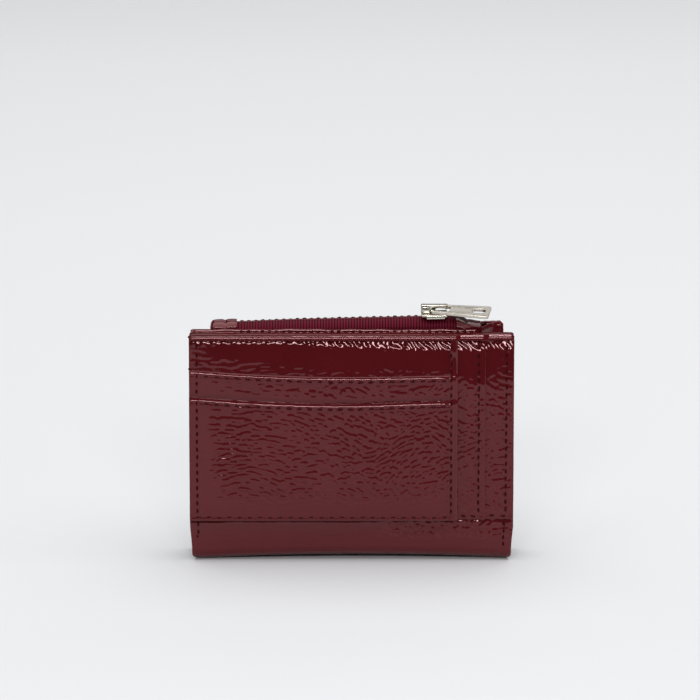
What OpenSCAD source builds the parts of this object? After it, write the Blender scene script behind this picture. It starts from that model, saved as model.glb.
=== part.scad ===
// Bifold wallet with a zip coin pocket, standing on its folded spine.
// X runs along the fold, -Y is the back with the outside card slots, +Y is the front cover, +Z is up.
// The origin is the middle of the base, under the fold.

/* [Covers] */
// Width of the closed wallet along the fold
wallet_w = 125; // [120:1:130]
// Height of the back leaf, from the base to its bound top edge
back_h = 91; // [90:0.5:92]
// Height of the front leaf, a little lower than the back leaf
front_h = 86.5; // [84:0.5:88]
// Outer radius of the two folds in the spine
fold_r = 4.8; // [4.4:0.1:5.2]
// Thickness of the outer leather
cover_t = 1; // [0.8:0.1:1]
// Radius of the leaves' top corners
corner_r = 2; // [1:0.5:3]

/* [Outside card slots] */
// Thickness of each slot leather
slot_t = 0.6; // [0.5:0.05:0.6]
// Lower edge of the slot panels
panel_low = 16.7; // [15:0.1:18]
// Height of the upper slot's open edge
upper_edge = 74.6; // [73:0.1:76]
// Height of the lower slot's open edge
lower_edge = 63.8; // [62:0.1:66]
// Right edge of the first side-entry slot
side_edge_1 = 40.9; // [39:0.1:42]
// Right edge of the second side-entry slot
side_edge_2 = 51.6; // [50:0.1:53]

/* [Zip] */
// Left end of the coin pocket
pocket_left = -55.5; // [-56:0.5:-54]
// Right end of the coin pocket
pocket_right = 58.5; // [57:0.5:59]
// Height of the zip tape's upper face at the middle of the wallet
tape_z = 94.5; // [94:0.1:95]
// Slope of the zip line, rising to the right, in degrees
zip_rise = 1.45; // [0:0.05:1.5]
// Distance from one coil turn to the next on the same side
coil_pitch = 2.17; // [2.1:0.01:2.3]
// Middle of the slider along the zip, when it is closed
slider_x = 31.8; // [30:0.1:32]

/* [Hidden] */
$fn = 48;

wine = [0.36, 0.03, 0.07];
dark_wine = [0.27, 0.02, 0.05];
tape_red = [0.42, 0.05, 0.11];
lining_red = [0.30, 0.06, 0.09];
board_grey = [0.55, 0.50, 0.45];
nickel = [0.80, 0.80, 0.78];

half_w = wallet_w / 2;
seam_inset = 3;

// The layers of the back leaf, from the outside inwards
lower_slot_y = -11;
upper_slot_y = lower_slot_y + slot_t;
slot_panel_y = upper_slot_y + slot_t;
side_panel_y = slot_panel_y + slot_t;
backing_y = side_panel_y + slot_t;
back_cover_y = backing_y + slot_t;
board_t = 0.4;
lining_t = 0.3;
back_board_y = back_cover_y + cover_t;
back_lining_y = back_board_y + board_t;
back_inner_y = back_lining_y + lining_t;

// The coin pocket, behind the note slot
wall_t = 0.8;
note_gap = 0.8;
near_wall_y = back_inner_y + note_gap;
near_inner_y = near_wall_y + wall_t;
far_inner_y = 3.9;
pocket_low = 14;
near_top = 91.8;
zip_y = -0.5;

// The layers of the front leaf, from the inside outwards
inner_slot_t = 0.5;
front_inner_y = 6.3;
front_lining_y = front_inner_y + 3 * inner_slot_t;
front_board_y = front_lining_y + lining_t;
front_cover_y = front_board_y + board_t;
front_outer_y = front_cover_y + cover_t;

leaf_low = fold_r;
rise = tan(zip_rise);

// A flat piece standing in the XZ plane from y0 to y0 + t, with its two top corners rounded
module leaf(x0, x1, z0, z1, y0, t, r = 0) {
    translate([0, y0 + t, 0]) rotate([90, 0, 0]) linear_extrude(t) {
        translate([x0, z0]) square([x1 - x0, z1 - z0 - r]);
        if (r > 0) {
            translate([x0 + r, z0]) square([x1 - x0 - 2 * r, z1 - z0]);
            for (x = [x0 + r, x1 - r]) translate([x, z1 - r]) circle(r);
        }
    }
}

// A flat piece in the XZ plane with any outline of [x, z] points
module outline_leaf(points, y0, t) {
    translate([0, y0 + t, 0]) rotate([90, 0, 0]) linear_extrude(t) polygon(points);
}

// A profile of [y, z] points drawn along X from x0 to x1
module along_x(x0, x1, points) {
    translate([x0, 0, 0]) rotate([90, 0, 90]) linear_extrude(x1 - x0) polygon(points);
}

// Puts its children in the zip's own frame: X along the zip, the tape's upper face at Z 0
module on_zip() {
    translate([0, zip_y, tape_z]) rotate([0, -zip_rise, 0]) children();
}

// ---- The fold ----

// A stretch of a fold: the ring sector between two angles, in the YZ plane
module fold_arc(y_mid, r, t, from, to) {
    reach = 2 * r;
    intersection() {
        translate([y_mid, fold_r]) difference() {
            circle(r);
            circle(r - t);
        }
        translate([y_mid, fold_r]) polygon([
            [0, 0], [reach * cos(from), reach * sin(from)],
            [reach * cos((from + to) / 2), reach * sin((from + to) / 2)],
            [reach * cos(to), reach * sin(to)]
        ]);
    }
}

// Each leather is split at the middle of its fold, where the leaf turns on the spine
fold_split = 1.8;
back_fold_y = back_cover_y + fold_r;
front_fold_y = front_outer_y - fold_r;

// A floor strip with half of each fold, set in from the outer skin by x_in and depth_in
module spine_strip(depth_in, t, x_in) {
    r = fold_r - depth_in;
    translate([-half_w + x_in, 0, 0]) rotate([90, 0, 90]) linear_extrude(wallet_w - 2 * x_in) {
        translate([back_fold_y, depth_in]) square([front_fold_y - back_fold_y, t]);
        fold_arc(back_fold_y, r, t, 225 + fold_split, 270);
        fold_arc(front_fold_y, r, t, 270, 315 - fold_split);
    }
}

module spine_cover() {
    color(wine) spine_strip(0, cover_t, 0);
}

module spine_lining() {
    color(lining_red) spine_strip(cover_t, lining_t, 1);
}

// The half fold at the lower edge of a leaf's cover
module leaf_fold(y_mid, from, to) {
    translate([-half_w, 0, 0]) rotate([90, 0, 90]) linear_extrude(wallet_w)
        fold_arc(y_mid, fold_r, cover_t, from, to);
}

// ---- The back leaf ----

module back_cover() {
    color(wine) {
        leaf(-half_w, half_w, leaf_low, back_h - slot_t, back_cover_y, cover_t, corner_r);
        leaf_fold(back_fold_y, 180, 225 - fold_split);
    }
}

module back_board() {
    color(board_grey) leaf(-half_w + 4, half_w - 4, leaf_low + 4, back_h - 4, back_board_y, board_t);
}

module back_lining() {
    rim = 4;
    color(lining_red) {
        leaf(-half_w + 1, half_w - 1, leaf_low + 1, back_h - slot_t, back_lining_y, lining_t, corner_r);
        // The turned edge that the side seams pass through, level with the board
        for (x = [-half_w + 1, half_w - rim])
            leaf(x, x + rim - 1, leaf_low + 1, back_h - 3, back_board_y, board_t);
    }
}

// The full-width leather that carries the card slots, with a raised hem on its right edge
module slot_backing() {
    hem_w = 3;
    hem_t = 0.3;
    color(wine) {
        leaf(-half_w, half_w, panel_low, back_h - slot_t, backing_y, slot_t, corner_r);
        leaf(half_w - hem_w, half_w, panel_low, back_h - 3, backing_y - hem_t, hem_t);
    }
}

// The second side-entry slot: open along its right edge, which is hemmed
module side_slot_panel() {
    hem_w = 3;
    hem_t = 0.3;
    color(wine) {
        leaf(-half_w, side_edge_2, panel_low, back_h - slot_t, side_panel_y, slot_t);
        leaf(side_edge_2 - hem_w, side_edge_2, panel_low, back_h - 3, side_panel_y - hem_t, hem_t);
    }
}

// The first side-entry slot, which the two upright card slots are sewn on
module slot_panel() {
    color(wine) leaf(-half_w, side_edge_1, panel_low, back_h - slot_t, slot_panel_y, slot_t);
}

binding_w = 3;

module upper_card_slot() {
    color(wine) leaf(-half_w, side_edge_1 - binding_w, panel_low, upper_edge, upper_slot_y, slot_t);
}

module lower_card_slot() {
    color(wine) leaf(-half_w, side_edge_1 - binding_w, panel_low, lower_edge, lower_slot_y, slot_t);
}

// The folded strip over the right-hand ends of the card slots
module slot_binding() {
    edge_r = 0.5;
    strip_t = 2 * slot_t;
    x0 = side_edge_1 - binding_w;
    color(wine) {
        leaf(x0, side_edge_1 - edge_r, panel_low, back_h - 3, lower_slot_y, strip_t);
        leaf(side_edge_1 - edge_r, side_edge_1, panel_low, back_h - 3, lower_slot_y + edge_r, strip_t - edge_r);
        translate([side_edge_1 - edge_r, lower_slot_y + edge_r, panel_low])
            cylinder(r = edge_r, h = back_h - 3 - panel_low);
    }
}

// One stretch of the strip that is folded over the top edge, as deep as the layers under it
strip_t = 0.75;
module top_binding_stretch(x0, x1, y_front, y_back) {
    leg = 2.6;
    low = back_h - leg;
    top = back_h - slot_t;
    round = 0.3;
    color(wine) along_x(x0, x1, [
        [y_front - strip_t, low], [y_front - strip_t, back_h - round],
        [y_front - strip_t + round, back_h], [y_back + strip_t - round, back_h],
        [y_back + strip_t, back_h - round], [y_back + strip_t, low],
        [y_back, low], [y_back, top], [y_front, top], [y_front, low]
    ]);
}

module back_top_binding() {
    end_in = corner_r;
    top_binding_stretch(-half_w + end_in, side_edge_1, slot_panel_y, back_inner_y);
    top_binding_stretch(side_edge_1, side_edge_2, side_panel_y, back_inner_y);
    top_binding_stretch(side_edge_2, half_w - end_in, backing_y, back_inner_y);
}

// ---- The coin pocket ----

// Upper edge of a pocket wall: along the zip's slope, up to the closed right-hand corner
far_drop = 0.75;
function far_top(x) = tape_z - far_drop + x * rise;

// The near wall stands a note's gap behind the back leaf, and its rim is sewn to it on three sides
module pocket_near_wall() {
    rim = 3;
    near_left = -half_w + 0.3;
    corner_x = pocket_right - 4;
    ramp_x = pocket_right - 10;
    color(wine) {
        outline_leaf([
            [pocket_left, pocket_low], [pocket_right, pocket_low],
            [pocket_right, far_top(pocket_right) - 1], [pocket_right - 1, far_top(pocket_right)],
            [corner_x, far_top(corner_x)], [ramp_x, near_top],
            [near_left + 1, near_top], [near_left, near_top - 1], [near_left, near_top - 12], [pocket_left, near_top - 20]
        ], near_wall_y, wall_t);
        for (x = [pocket_left, pocket_right - rim])
            leaf(x, x + rim, pocket_low, back_h - 8, back_inner_y, note_gap);
        leaf(pocket_left + rim, pocket_right - rim, pocket_low, pocket_low + rim, back_inner_y, note_gap);
    }
}

module pocket_far_wall() {
    color(wine) difference() {
        outline_leaf([
            [pocket_left, pocket_low], [pocket_right, pocket_low],
            [pocket_right, far_top(pocket_right) - 1], [pocket_right - 1, far_top(pocket_right)],
            [pocket_left, far_top(pocket_left)]
        ], far_inner_y, wall_t);
        translate([0, far_inner_y - 1, snap_z]) rotate([-90, 0, 0]) cylinder(r = post_r, h = wall_t + 2);
    }
}

// A side gusset closes one end of the pocket, with a shallow fold in its middle
module gusset(x0, z_top) {
    color(dark_wine) translate([x0, near_inner_y, pocket_low + wall_t])
        cube([wall_t, far_inner_y - near_inner_y, z_top - pocket_low - wall_t]);
}

module pocket_left_gusset() {
    gusset(pocket_left, near_top - 1);
}

module pocket_right_gusset() {
    gusset(pocket_right - wall_t, far_top(pocket_right) - 1);
}

module pocket_base() {
    color(dark_wine) translate([pocket_left, near_inner_y, pocket_low])
        cube([pocket_right - pocket_left, far_inner_y - near_inner_y, wall_t]);
}

// ---- The zip ----

tape_t = 0.5;
tape_depth = 8;
coil_w = 2;
coil_h = 1.7;
slit = 0.35;
near_edge = near_inner_y - zip_y;
far_edge = far_inner_y - zip_y;
tape_left = pocket_left + 2;
tape_right = pocket_right - 2;

module zip_tape_near() {
    color(tape_red) on_zip() along_x(tape_left, tape_right, [
        [-slit, 0], [near_edge + 0.4, 0], [near_edge, -0.4], [near_edge, -tape_depth],
        [near_edge + tape_t, -tape_depth], [near_edge + tape_t, -tape_t], [-slit, -tape_t]
    ]);
}

module zip_tape_far() {
    color(tape_red) on_zip() along_x(tape_left, tape_right, [
        [slit, 0], [coil_w, 0], [far_edge - 0.3, -far_drop + 0.15], [far_edge, -far_drop - 0.15],
        [far_edge, -tape_depth], [far_edge - tape_t, -tape_depth],
        [far_edge - tape_t, -far_drop - tape_t + 0.1], [coil_w - 0.1, -tape_t], [slit, -tape_t]
    ]);
}

// A coil's row of turns, as a comb: closed to the left of the slider, and parted to its right
wedge_x = slider_x + 1.2;
parted_x = slider_x + 4.6;
coil_start = pocket_left + 12;
stop_x = slider_x + 5.6;
coil_end = stop_x - 0.2;
parting = 1.15;
function smooth(t) = t * t * (3 - 2 * t);
function part_at(x) = parting * smooth(min(1, max(0, (x - wedge_x + 3.4) / (parted_x - wedge_x + 2))));

// One row of turns on the side given, with its first turn at the phase given
module coil(side, phase) {
    back = coil_w - 0.6;
    reach_in = 0.45;
    root = 0.6;
    turn_w = coil_pitch / 2 - 0.1;
    turns = floor((coil_end - coil_start - coil_pitch) / coil_pitch);
    teeth = [for (i = [0:turns])
        let (x = coil_start + phase + i * coil_pitch, p = part_at(x))
        each [
            [x - turn_w / 2, side * (root + p)], [x - turn_w / 2, side * (p - reach_in)],
            [x + turn_w / 2, side * (p - reach_in)], [x + turn_w / 2, side * (root + p)]
        ]];
    outer = [for (i = [turns:-1:0])
        let (x = coil_start + phase + i * coil_pitch)
        [x + turn_w / 2, side * (back + part_at(x))]];
    first = [[coil_start + phase - turn_w / 2, side * back]];
    color(dark_wine) on_zip() translate([0, 0, -tape_t - coil_h])
        linear_extrude(coil_h) polygon(concat(teeth, outer, first));
}

module coil_near() {
    coil(-1, 0.6);
}

module coil_far() {
    coil(1, 0.6 + coil_pitch / 2);
}

// A leather tab folded over one end of the tape
module zip_tab(x0, x1) {
    tab_t = 0.4;
    color(wine) on_zip() along_x(x0, x1, [
        [near_edge - 0.3, -1.3], [near_edge - 0.3, tab_t - 0.3], [near_edge, tab_t],
        [far_edge - 0.3, tab_t - 0.2], [far_edge, tab_t - 0.5], [far_edge, -far_drop - 0.1],
        [far_edge - 0.3, -far_drop + 0.2], [coil_w, 0.05], [near_edge + 0.4, 0.05],
        [near_edge - 0.05, -0.4], [near_edge - 0.05, -1.3]
    ]);
}

module zip_tab_left() {
    zip_tab(-54.3, -44.1);
}

module zip_tab_right() {
    zip_tab(40.2, 49.4);
}

// Two small clamps on the tape edges, which stop the slider at the closed end
module zip_top_stops() {
    for (side = [-1, 1])
        color(nickel) on_zip() translate([stop_x, side * 1.1 - 0.9, -tape_t - 1.5]) cube([2, 1.8, 1.5]);
}

// One clamp across both coils, under the left tab
module zip_bottom_stop() {
    color(nickel) on_zip() translate([-47.6, -1.8, -tape_t - 1.6]) cube([2.4, 3.6, 1.6]);
}

// ---- The slider and its puller ----

slider_l = 10;
slider_w = 8.5;
plate_t = 1;
lip = 0.4;
top_under = 0.9;
low_under = tape_t + coil_h + 0.3;
plate_top = top_under + plate_t;

// The outline of a slider plate: narrow at the closed side, with two shoulders at the open side
module slider_plate(w, l) {
    tail = w * 0.78;
    for (part = [0:1]) {
        if (part == 0) translate([-l / 2 + 1, -tail / 2]) square([l / 2 - 1, tail]);
        if (part == 1) translate([0, -w / 2]) square([l / 2 - 1.5, w]);
    }
    translate([-l / 2, -tail / 2 + 1]) square([1, tail - 2]);
    translate([l / 2 - 1.5, -w / 2 + 1.5]) square([1.5, w - 3]);
    for (side = [-1, 1]) {
        translate([-l / 2 + 1, side * (tail / 2 - 1)]) circle(1);
        translate([l / 2 - 1.5, side * (w / 2 - 1.5)]) circle(1.5);
    }
}

module slider_body() {
    color(nickel) on_zip() translate([slider_x, 0, 0]) {
        translate([0, 0, top_under]) linear_extrude(plate_t) slider_plate(slider_w, slider_l);
        // The lips that hold the tape down along both sides
        for (side = [-1, 1])
            translate([0, side * (slider_w / 2 - 0.4) - 0.4, top_under - lip])
                cube([slider_l / 2 - 1.5, 0.8, lip]);
        translate([0, 0, -low_under - plate_t]) linear_extrude(plate_t) slider_plate(6.4, slider_l - 1);
        // The wedge between the two plates, which parts the coils
        translate([3.1, 0, -low_under]) cylinder(r = 0.3, h = low_under + top_under);
        translate([2.2, -0.3, -low_under]) cube([0.9, 0.6, low_under + top_under]);
    }
}

cap_x = -5;
cap_l = 10.4;
cap_w = 2.4;
cap_t = 1;
cap_top = 5.3;
leg_l = 3.6;

// The bridge over the slider: a leg at the closed side and an arm that holds the puller's eye
module slider_cap() {
    color(nickel) on_zip() translate([slider_x, cap_w / 2, 0]) rotate([90, 0, 0]) linear_extrude(cap_w) {
        translate([cap_x, plate_top]) square([leg_l, cap_top - plate_top - 1]);
        translate([cap_x + 1, plate_top]) square([leg_l - 1, cap_top - plate_top]);
        translate([cap_x + 1, cap_top - 1]) circle(1);
        translate([cap_x + 1, cap_top - cap_t]) square([cap_l - 1.5, cap_t]);
        translate([cap_x + cap_l - 0.5, cap_top - 0.5]) circle(0.5);
        translate([cap_x + cap_l - 1, cap_top - 1.5]) square([1, 1]);
        translate([cap_x + cap_l - 0.5, cap_top - 1.5]) circle(0.5);
    }
}

eye_x = -0.2;
eye_z = 3.3;
puller_t = 1.2;
puller_turn = -10;
puller_drop = 2.8;
puller_l = 22;
puller_w0 = 7.4;
puller_w1 = 9.4;

// The puller's outline from above, with its eye's bar at the origin and its grip along +X
module puller_outline() {
    bar = 0.85;
    r = 1;
    difference() {
        union() {
            polygon([
                [0.8, -puller_w0 / 2], [puller_l - r, -puller_w1 / 2],
                [puller_l - r, puller_w1 / 2], [0.8, puller_w0 / 2]
            ]);
            translate([puller_l - 2 * r, -puller_w1 / 2 + r]) square([2 * r, puller_w1 - 2 * r]);
            for (side = [-1, 1]) translate([puller_l - r, side * (puller_w1 / 2 - r)]) circle(r);
            translate([-bar, -puller_w0 / 2 + 1.6]) square([2.4, puller_w0 - 3.2]);
            for (side = [-1, 1]) translate([-bar + 1.6, side * (puller_w0 / 2 - 1.6)]) circle(1.6);
        }
        // The eye that the bridge's arm passes through
        translate([bar, -2.3]) square([5.6, 4.6]);
        // The window near the grip's end
        translate([puller_l - 6.4, -1.9]) square([3, 3.8]);
        for (x = [puller_l - 6.4, puller_l - 3.4]) translate([x, 0]) circle(1.9);
    }
}

module puller() {
    color(nickel) on_zip() translate([slider_x + eye_x, 0, eye_z])
        rotate([0, 0, puller_turn]) rotate([0, puller_drop, 0])
            translate([0, 0, -puller_t / 2]) linear_extrude(puller_t) puller_outline();
}

// ---- The press stud ----

snap_z = 72;
post_r = 1.6;
stud_r = 2.1;
socket_in = 2.3;

// The post passes through the far wall from inside the pocket, and the stud is closed over it
module snap_post() {
    color(nickel) translate([0, far_inner_y, snap_z]) rotate([-90, 0, 0]) {
        translate([0, 0, -0.7]) cylinder(r = 4.5, h = 0.7);
        cylinder(r = post_r, h = wall_t + 0.3);
    }
}

module snap_stud() {
    y0 = far_inner_y + wall_t;
    color(nickel) translate([0, y0, snap_z]) rotate([-90, 0, 0]) difference() {
        union() {
            cylinder(r = 4.6, h = 0.5);
            cylinder(r = stud_r, h = 2.5);
        }
        translate([0, 0, -0.1]) cylinder(r = post_r, h = 0.4);
    }
}

// The socket faces the stud from the front leaf's inner side, and the cap shows outside
module snap_socket() {
    color(nickel) translate([0, front_inner_y, snap_z]) rotate([-90, 0, 0]) difference() {
        translate([0, 0, -0.9]) cylinder(r = 4.8, h = 0.9 + front_outer_y - front_inner_y - 0.6);
        translate([0, 0, -1]) cylinder(r = socket_in, h = 2.2);
    }
}

module snap_cap() {
    color(nickel) translate([0, front_outer_y, snap_z]) rotate([-90, 0, 0]) {
        cylinder(r = 6, h = 0.8);
        translate([0, 0, 0.8]) cylinder(r1 = 6, r2 = 4.6, h = 1);
        translate([0, 0, -0.6]) cylinder(r = 2, h = 0.6);
    }
}

// The hole that a press stud's barrel leaves in a layer of the front leaf
module snap_hole(r) {
    translate([0, front_inner_y - 1, snap_z]) rotate([-90, 0, 0]) cylinder(r = r, h = 6);
}

// ---- The front leaf ----

socket_hole = 4.8;

module front_cover() {
    color(wine) difference() {
        union() {
            leaf(-half_w, half_w, leaf_low, front_h - slot_t, front_cover_y, cover_t, corner_r);
            leaf_fold(front_fold_y, 315 + fold_split, 360);
        }
        translate([0, front_cover_y - 0.6, snap_z]) rotate([-90, 0, 0]) cylinder(r = socket_hole, h = 1);
        snap_hole(2);
    }
}

module front_board() {
    color(board_grey) difference() {
        leaf(-half_w + 4, half_w - 4, leaf_low + 4, front_h - 4, front_board_y, board_t);
        snap_hole(socket_hole);
    }
}

module front_lining() {
    color(lining_red) difference() {
        leaf(-half_w + 1, half_w - 1, leaf_low + 1, front_h - slot_t, front_lining_y, lining_t, corner_r);
        snap_hole(socket_hole);
    }
}

slot_step = 11;
inner_left = -half_w + 3;
inner_right = half_w - 3;

// One of the three stacked card slots inside: the shorter it is, the nearer it lies to the middle
module inner_slot(number, y0) {
    top = 66 - number * slot_step;
    color(wine) leaf(inner_left, inner_right, leaf_low + 6, top, y0, inner_slot_t, 0);
}

module inner_slot_top() {
    inner_slot(0, front_inner_y + 2 * inner_slot_t);
}

module inner_slot_middle() {
    inner_slot(1, front_inner_y + inner_slot_t);
}

module inner_slot_bottom() {
    inner_slot(2, front_inner_y);
}

module front_top_binding() {
    leg = 2.6;
    back = front_lining_y;
    color(wine) along_x(-half_w + corner_r, half_w - corner_r, [
        [front_outer_y + 0.4, front_h - leg], [front_outer_y + 0.4, front_h - 0.3],
        [front_outer_y + 0.1, front_h], [back - 0.3, front_h],
        [back - 0.6, front_h - 0.3], [back - 0.6, front_h - leg],
        [back, front_h - leg], [back, front_h - slot_t],
        [front_outer_y, front_h - slot_t], [front_outer_y, front_h - leg]
    ]);
}

// ---- The stitches ----

thread = 0.3;

// A row of stitches along X at height z, lying on the face at y
module row_along_x(x0, x1, z, y, pitch, outward = -1) {
    count = floor((x1 - x0) / pitch);
    step = (x1 - x0) / count;
    for (i = [0:count - 1])
        color(dark_wine) translate([x0 + (i + 0.15) * step, outward < 0 ? y - thread : y, z - thread])
            cube([step * 0.7, thread, 2 * thread]);
}

// A row of stitches along Z at x, lying on the face at y
module row_along_z(z0, z1, x, y, pitch, outward = -1) {
    count = floor((z1 - z0) / pitch);
    step = (z1 - z0) / count;
    for (i = [0:count - 1])
        color(dark_wine) translate([x - thread, outward < 0 ? y - thread : y, z0 + (i + 0.15) * step])
            cube([2 * thread, thread, step * 0.7]);
}

top_stitch_z = back_h - 3.1;
bottom_stitch_z = panel_low + 1.6;
stitch_pitch = 3.2;

module back_top_stitches() {
    row_along_x(-half_w + seam_inset + 0.6, side_edge_1 - binding_w - 0.4, top_stitch_z, slot_panel_y, stitch_pitch);
    row_along_x(side_edge_1 + 0.4, side_edge_2 - binding_w - 0.4, top_stitch_z, side_panel_y, stitch_pitch);
    row_along_x(side_edge_2 + 0.4, half_w - seam_inset - 0.8, top_stitch_z, backing_y, stitch_pitch);
}

module back_side_stitches() {
    left_x = -half_w + seam_inset;
    right_x = half_w - seam_inset - 0.5;
    row_along_z(bottom_stitch_z + 1, lower_edge, left_x, lower_slot_y, stitch_pitch);
    row_along_z(lower_edge + 0.4, upper_edge, left_x, upper_slot_y, stitch_pitch);
    row_along_z(upper_edge + 0.4, top_stitch_z - 0.4, left_x, slot_panel_y, stitch_pitch);
    row_along_z(leaf_low + 2, panel_low, left_x, back_cover_y, stitch_pitch);
    row_along_z(bottom_stitch_z + 1, top_stitch_z - 1, right_x + 0.5, backing_y - 0.3, stitch_pitch);
    row_along_z(leaf_low + 2, panel_low, right_x, back_cover_y, stitch_pitch);
}

module bottom_seam_stitches() {
    seam_pitch = 3.95;
    row_along_x(-half_w + 1, side_edge_1 - binding_w - 0.1, bottom_stitch_z, lower_slot_y, seam_pitch);
    row_along_x(side_edge_1 + 0.2, side_edge_2 - binding_w - 0.2, bottom_stitch_z, side_panel_y, seam_pitch);
    row_along_x(side_edge_2 + 0.2, half_w - 3.2, bottom_stitch_z, backing_y, seam_pitch);
}

module slot_edge_stitches() {
    hem = 1.9;
    row_along_x(-half_w + 4.2, side_edge_1 - binding_w - 0.6, upper_edge - hem, upper_slot_y, 3.3);
    row_along_x(-half_w + 4.2, side_edge_1 - binding_w - 0.6, lower_edge - hem, lower_slot_y, 3.3);
    row_along_z(bottom_stitch_z + 1, lower_edge, side_edge_1 - binding_w - 0.32, lower_slot_y, stitch_pitch);
    row_along_z(bottom_stitch_z + 1, top_stitch_z - 1, side_edge_2 - binding_w - 0.32, side_panel_y, stitch_pitch);
}

module zip_seam_stitches() {
    x0 = -43.5;
    x1 = 48;
    row_along_x(x0, x1, near_top - 0.4, near_wall_y, 2.7);
    pitch = 2.7;
    count = floor((x1 - x0) / pitch);
    for (i = [0:count - 1]) {
        x = x0 + (i + 0.15) * pitch;
        color(dark_wine) translate([x, far_inner_y + wall_t, far_top(x) - 1.4])
            cube([pitch * 0.7, thread, 2 * thread]);
    }
}

module front_stitches() {
    z_top = front_h - 3.1;
    row_along_x(-half_w + seam_inset + 0.6, half_w - seam_inset - 0.6, z_top, front_outer_y, stitch_pitch, 1);
    for (x = [-half_w + seam_inset, half_w - seam_inset])
        row_along_z(leaf_low + 2, z_top - 0.6, x, front_outer_y, stitch_pitch, 1);
}

spine_cover();
spine_lining();
back_cover();
back_board();
back_lining();
slot_backing();
side_slot_panel();
slot_panel();
upper_card_slot();
lower_card_slot();
slot_binding();
back_top_binding();
pocket_near_wall();
pocket_far_wall();
pocket_left_gusset();
pocket_right_gusset();
pocket_base();
zip_tape_near();
zip_tape_far();
coil_near();
coil_far();
zip_tab_left();
zip_tab_right();
zip_top_stops();
zip_bottom_stop();
snap_stud();
snap_post();
slider_body();
slider_cap();
puller();
front_cover();
front_board();
front_lining();
inner_slot_top();
inner_slot_middle();
inner_slot_bottom();
front_top_binding();
snap_cap();
snap_socket();
back_top_stitches();
back_side_stitches();
bottom_seam_stitches();
slot_edge_stitches();
zip_seam_stitches();
front_stitches();
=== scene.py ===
import math

import bpy
import numpy as np
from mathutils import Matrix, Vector


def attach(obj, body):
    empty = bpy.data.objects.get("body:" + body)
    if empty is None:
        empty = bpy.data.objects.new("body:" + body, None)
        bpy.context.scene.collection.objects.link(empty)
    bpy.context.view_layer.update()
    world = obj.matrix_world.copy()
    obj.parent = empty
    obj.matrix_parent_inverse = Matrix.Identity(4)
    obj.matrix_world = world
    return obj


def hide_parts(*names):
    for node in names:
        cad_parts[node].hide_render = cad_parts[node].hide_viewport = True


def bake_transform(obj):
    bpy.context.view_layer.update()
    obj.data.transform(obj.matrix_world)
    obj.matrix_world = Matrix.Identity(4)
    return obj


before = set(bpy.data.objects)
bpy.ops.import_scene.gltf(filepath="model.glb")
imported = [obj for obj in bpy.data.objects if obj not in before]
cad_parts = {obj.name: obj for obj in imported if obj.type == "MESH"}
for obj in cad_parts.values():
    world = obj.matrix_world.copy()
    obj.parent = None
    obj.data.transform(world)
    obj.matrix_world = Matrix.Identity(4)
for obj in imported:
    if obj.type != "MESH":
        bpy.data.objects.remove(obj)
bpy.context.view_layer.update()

# ---- Camera ----
# A long lens stands well back and a little above the wallet, square to the side with the outside card slots.
# The wallet fills about half of the frame's width.
MM = 0.001
aim = Vector((-0.6, -10.4, 85.0)) * MM
reach = 2.3
tilt = math.radians(15)
frame_width = 0.2684
camera = bpy.data.objects.new("camera", bpy.data.cameras.new("camera"))
bpy.context.scene.collection.objects.link(camera)
camera.location = aim + Vector((0, -math.cos(tilt), math.sin(tilt))) * reach
camera.rotation_euler = (math.radians(90) - tilt, 0, 0)
camera.data.sensor_width = 36
camera.data.lens = 36 * reach / frame_width
camera.data.clip_start = 0.05
camera.data.clip_end = 20
bpy.context.scene.camera = camera

# ---- Patent leather ----
# Split leather with a thick clear film of polyurethane over a wine-red coat, crushed so that it keeps
# fine creases. The film reflects sharply, and the red shows best where little is reflected.


def linear(hex_colour):
    """An sRGB hex colour as the linear RGBA that a socket takes."""
    parts = [int(hex_colour[i : i + 2], 16) / 255 for i in (1, 3, 5)]
    return [c / 12.92 if c <= 0.04045 else ((c + 0.055) / 1.055) ** 2.4 for c in parts] + [1.0]


def add(tree, kind, inputs=(), **settings):
    """Adds a node with its settings, and fills its inputs with values or with other nodes' outputs."""
    made = tree.nodes.new("ShaderNode" + kind)
    for key, value in settings.items():
        setattr(made, key, value)
    for key, value in dict(inputs).items():
        if isinstance(value, bpy.types.NodeSocket):
            tree.links.new(value, made.inputs[key])
        else:
            made.inputs[key].default_value = value
    return made


def new_material(name):
    """An empty material, its tree, and the object's own coordinates for its textures."""
    made = bpy.data.materials.new(name)
    made.use_nodes = True
    made.node_tree.nodes.clear()
    return made, made.node_tree, add(made.node_tree, "TexCoord").outputs["Object"]


def noise(tree, place, scale, detail):
    """Cloudy noise with about this many features to the metre."""
    return add(tree, "TexNoise", {"Vector": place, "Scale": scale, "Detail": detail}).outputs["Fac"]


def two_tone(tree, factor, dark, light):
    """A colour that goes from dark to light as the factor goes from 0 to 1."""
    colours = {"Factor": factor, 6: linear(dark), 7: linear(light)}
    return add(tree, "Mix", colours, data_type="RGBA").outputs[2]


def finish_material(tree, inputs):
    """Ends a material's tree with one principled surface."""
    surface = add(tree, "BsdfPrincipled", inputs)
    add(tree, "OutputMaterial", {0: surface.outputs[0]})


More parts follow.
